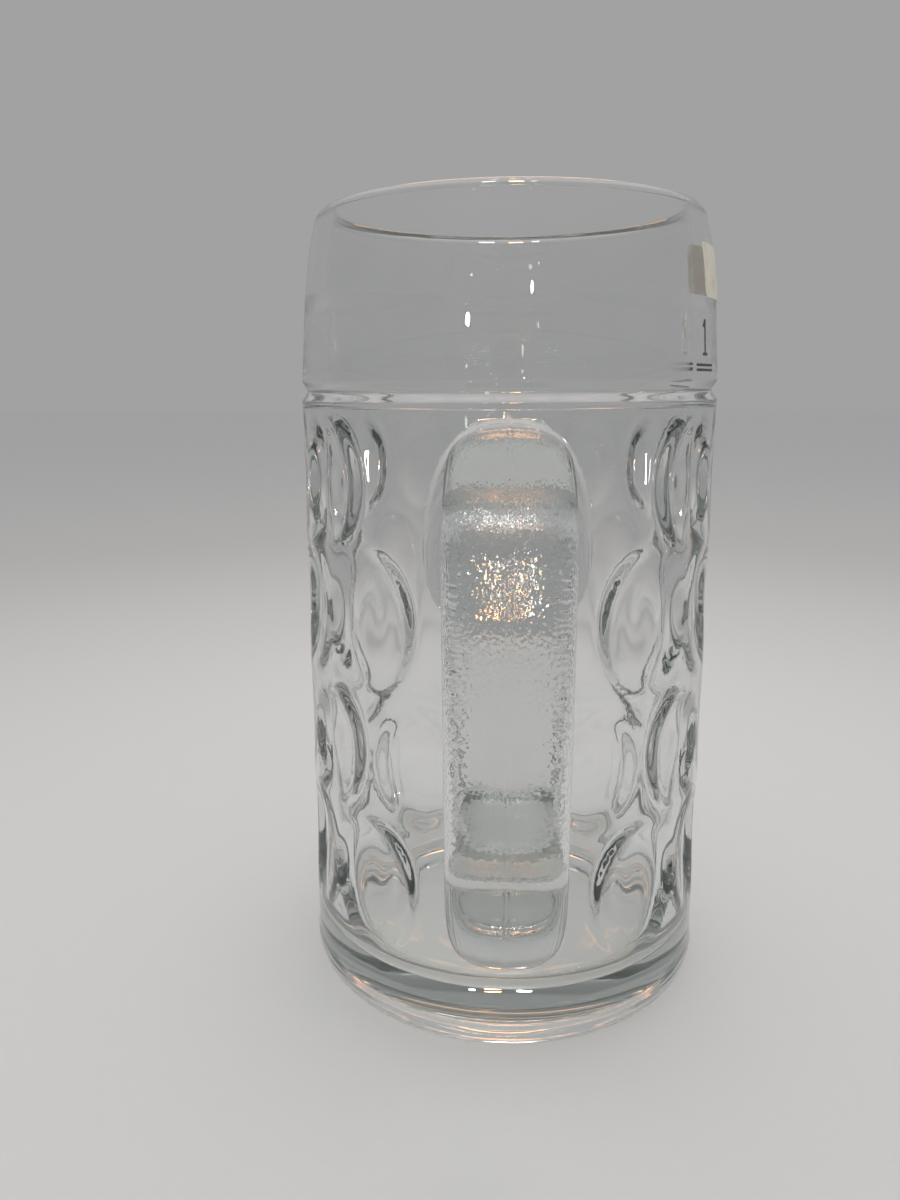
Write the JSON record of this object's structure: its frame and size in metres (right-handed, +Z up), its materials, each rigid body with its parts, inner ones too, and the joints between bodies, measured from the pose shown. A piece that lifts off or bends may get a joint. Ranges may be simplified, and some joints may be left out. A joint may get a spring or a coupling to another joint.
{
  "type": "dimpled glass beer mug",
  "caption": "Tall pressed glass beer mug with staggered rows of round dimples, a smooth drinking band over a groove, a hand-wide loop handle, a fill line and a blank price label.",
  "frame": {"origin": "centre of the foot ring, in the plane that the mug stands on, on the axis of the body", "axes": "+Z up along the axis of the body to the rim; -Y from the axis to the handle; +X to the right of someone who faces the handle, the side with the print and the label"},
  "size_m": [0.1078, 0.1533, 0.199],
  "materials": {
    "clear_glass": "clear pressed soda-lime glass with a faint grey-green tint, fire-polished",
    "print_enamel": "thin dark ceramic enamel, slightly glossy",
    "label_paper": "matt off-white self-adhesive paper"
  },
  "bodies": {
    "root": {"vessel": "clear_glass", "handle": "clear_glass", "fill_line": "print_enamel", "capacity_numeral": "print_enamel", "price_label": "label_paper"}
  },
  "joints": []
}
